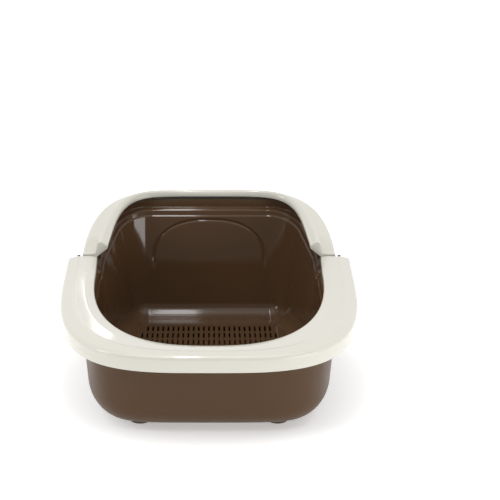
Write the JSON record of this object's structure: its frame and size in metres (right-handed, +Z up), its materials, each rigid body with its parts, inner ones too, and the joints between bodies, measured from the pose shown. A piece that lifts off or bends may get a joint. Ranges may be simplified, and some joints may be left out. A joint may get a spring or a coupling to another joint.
{
  "type": "cat litter box",
  "caption": "Open oval cat litter box: brown tub with a slotted lift-out sieve tray, a broad ivory front collar and a raised ivory rear hood.",
  "frame": {"origin": "on the floor under the middle of the box, centred on its width and its length", "axes": "+X to the box's right seen from its low front, +Y from the low front to the raised hood, +Z up"},
  "size_m": [0.386, 0.486, 0.205],
  "materials": {
    "tub": "satin",
    "inner": "glossy",
    "foot": "matt",
    "rim": "semi-gloss"
  },
  "bodies": {
    "tub": {"outer_tray": "tub", "foot_front_left": "foot", "foot_front_right": "foot", "foot_rear_left": "foot", "foot_rear_right": "foot"},
    "sieve": {"sieve_tray": "inner"},
    "collar": {"front_collar": "rim"},
    "hood": {"rear_hood": "rim"}
  },
  "joints": [
    {"name": "sieve_lift", "type": "slide", "parent": "tub", "child": "sieve", "axis": [0, 0, 1], "range_m": [0, 0.2]},
    {"name": "collar_lift", "type": "slide", "parent": "sieve", "child": "collar", "axis": [0, 0, 1], "range_m": [0, 0.06]},
    {"name": "hood_lift", "type": "slide", "parent": "sieve", "child": "hood", "axis": [0, 0, 1], "range_m": [0, 0.06]}
  ]
}
